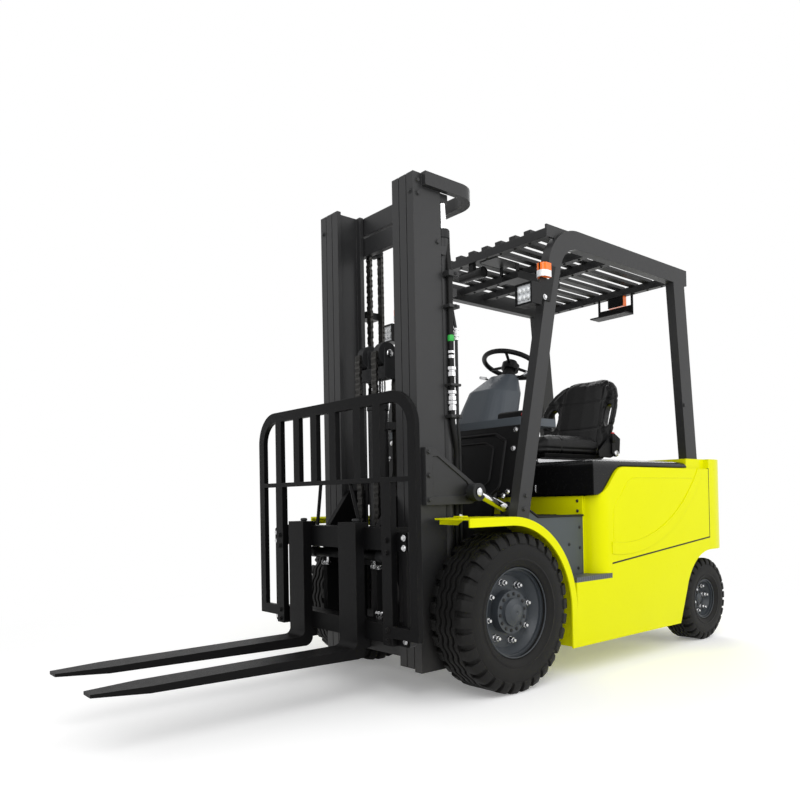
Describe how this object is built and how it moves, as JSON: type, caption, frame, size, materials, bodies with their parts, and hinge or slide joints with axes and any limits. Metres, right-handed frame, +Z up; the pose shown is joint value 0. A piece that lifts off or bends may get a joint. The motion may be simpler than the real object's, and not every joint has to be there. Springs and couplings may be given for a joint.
{
  "type": "electric counterbalance forklift",
  "caption": "Electric counterbalance forklift with a telescoping three-stage mast, side-shifting forks, load backrest, overhead guard and steered rear wheels.",
  "frame": {"origin": "on the ground under the middle of the whole truck, fork tips to counterweight", "axes": "+X forward to the fork tips, +Y to the truck's left, +Z up"},
  "size_m": [3.694, 1.196, 2.275],
  "materials": {
    "yellow": "gloss neon yellow paint",
    "mast_black": "satin black paint",
    "fork_black": "satin black paint over forged steel",
    "frame_grey": "matt dark grey paint",
    "slate": "satin slate grey paint",
    "plastic_black": "moulded black plastic",
    "plastic_slate": "moulded slate plastic",
    "seat_black": "black vinyl",
    "tyre": "black rubber",
    "steel": "machined steel",
    "chrome": "hard chrome",
    "chain": "oiled steel",
    "iron": "dark paint on castings",
    "lamp": "black lamp housing",
    "amber": "amber lens"
  },
  "bodies": {
    "chassis": {"chassis_frame": "yellow", "front_fenders": "yellow", "side_panels": "yellow", "counterweight": "yellow", "battery_block": "frame_grey", "floor_plate": "slate", "steps": "slate", "cowl_panel": "plastic_black", "dash_cover": "plastic_slate", "steering_column": "plastic_black", "drive_axle": "iron", "steer_axle": "iron", "guard_frame": "mast_black", "guard_slats": "mast_black", "work_lamps": "lamp", "rear_lamp": "amber", "grab_handle": "plastic_black"},
    "steering_wheel": {"steering_wheel": "plastic_black"},
    "hood": {"hood_deck": "plastic_black", "seat_cushion": "seat_black", "seat_back": "seat_black"},
    "wheel_front_left": {"front_left_tyre": "tyre", "front_left_rim": "slate"},
    "wheel_front_right": {"front_right_tyre": "tyre", "front_right_rim": "slate"},
    "knuckle_left": {"knuckle_left": "iron"},
    "knuckle_right": {"knuckle_right": "iron"},
    "wheel_rear_left": {"rear_left_tyre": "tyre", "rear_left_rim": "slate"},
    "wheel_rear_right": {"rear_right_tyre": "tyre", "rear_right_rim": "slate"},
    "steer_rod": {"steer_rod": "chrome"},
    "mast_outer": {"mast_outer_rails": "mast_black", "lift_barrels": "mast_black", "mast_brackets": "mast_black"},
    "mast_middle": {"mast_middle_rails": "mast_black", "lift_rods": "chrome", "main_sheaves": "steel", "main_chains": "chain"},
    "mast_inner": {"mast_inner_rails": "mast_black", "free_lift_barrel": "mast_black"},
    "free_lift_head": {"free_lift_head": "chrome", "free_lift_chains": "chain"},
    "carriage": {"carriage_frame": "mast_black"},
    "side_shifter": {"shift_frame": "mast_black", "backrest": "mast_black", "fork_left": "fork_black", "fork_right": "fork_black"},
    "tilt_barrels": {"tilt_barrels": "mast_black"},
    "tilt_rods": {"tilt_rods": "chrome"}
  },
  "joints": [
    {"name": "wheel_front_left_spin", "type": "hinge", "parent": "chassis", "child": "wheel_front_left", "pos_m": [0.163, 0.482, 0.35], "axis": [0, 1, 0], "continuous": true},
    {"name": "wheel_front_right_spin", "type": "hinge", "parent": "chassis", "child": "wheel_front_right", "pos_m": [0.163, -0.482, 0.35], "axis": [0, 1, 0], "continuous": true},
    {"name": "steer_left", "type": "hinge", "parent": "chassis", "child": "knuckle_left", "pos_m": [-1.537, 0.335, 0.238], "axis": [0, 0, 1], "range_deg": [-65, 65]},
    {"name": "steer_right", "type": "hinge", "parent": "chassis", "child": "knuckle_right", "pos_m": [-1.537, -0.335, 0.238], "axis": [0, 0, 1], "range_deg": [-65, 65]},
    {"name": "wheel_rear_left_spin", "type": "hinge", "parent": "knuckle_left", "child": "wheel_rear_left", "pos_m": [-1.537, 0.4715, 0.238], "axis": [0, 1, 0], "continuous": true},
    {"name": "wheel_rear_right_spin", "type": "hinge", "parent": "knuckle_right", "child": "wheel_rear_right", "pos_m": [-1.537, -0.4715, 0.238], "axis": [0, 1, 0], "continuous": true},
    {"name": "steer_rod_slide", "type": "slide", "parent": "chassis", "child": "steer_rod", "axis": [0, 1, 0], "range_m": [-0.0545, 0.0545]},
    {"name": "steering_wheel_turn", "type": "hinge", "parent": "chassis", "child": "steering_wheel", "pos_m": [-0.487, 0, 1.59], "axis": [-0.3746, 0, 0.9272], "continuous": true},
    {"name": "hood_lift", "type": "hinge", "parent": "chassis", "child": "hood", "pos_m": [-1.322, 0, 1.023], "axis": [0, -1, 0], "range_deg": [0, 24]},
    {"name": "mast_tilt", "type": "hinge", "parent": "chassis", "child": "mast_outer", "pos_m": [0.313, 0, 0.32], "axis": [0, 1, 0], "range_deg": [-6, 6]},
    {"name": "mast_extend", "type": "slide", "parent": "mast_outer", "child": "mast_middle", "axis": [0, 0, 1], "range_m": [0, 1.45], "deforming": ["main_chains"]},
    {"name": "inner_extend", "type": "slide", "parent": "mast_middle", "child": "mast_inner", "axis": [0, 0, 1], "range_m": [0, 1.45]},
    {"name": "free_lift", "type": "slide", "parent": "mast_inner", "child": "carriage", "axis": [0, 0, 1], "range_m": [-0.17, 1.2], "deforming": ["free_lift_chains"]},
    {"name": "free_lift_head_rise", "type": "slide", "parent": "mast_inner", "child": "free_lift_head", "axis": [0, 0, 1], "range_m": [-0.085, 0.6]},
    {"name": "side_shift", "type": "slide", "parent": "carriage", "child": "side_shifter", "axis": [0, 1, 0], "range_m": [-0.1, 0.1]},
    {"name": "tilt_barrel_swing", "type": "hinge", "parent": "chassis", "child": "tilt_barrels", "pos_m": [-0.257, 0, 0.68], "axis": [0, 1, 0], "range_deg": [-2.5, 2.5]},
    {"name": "tilt_rod_stroke", "type": "slide", "parent": "tilt_barrels", "child": "tilt_rods", "axis": [0.929, 0, 0.3701], "range_m": [-0.07, 0.07]}
  ],
  "couplings": [
    {"joint": "steer_right", "follows": "steer_left", "ratio": 1},
    {"joint": "steer_rod_slide", "follows": "steer_left", "m_per_rad": 0.0479},
    {"joint": "inner_extend", "follows": "mast_extend", "ratio": 1},
    {"joint": "free_lift_head_rise", "follows": "free_lift", "ratio": 0.5},
    {"joint": "tilt_barrel_swing", "follows": "mast_tilt", "ratio": 0.2638},
    {"joint": "tilt_rod_stroke", "follows": "mast_tilt", "m_per_rad": 0.545}
  ]
}
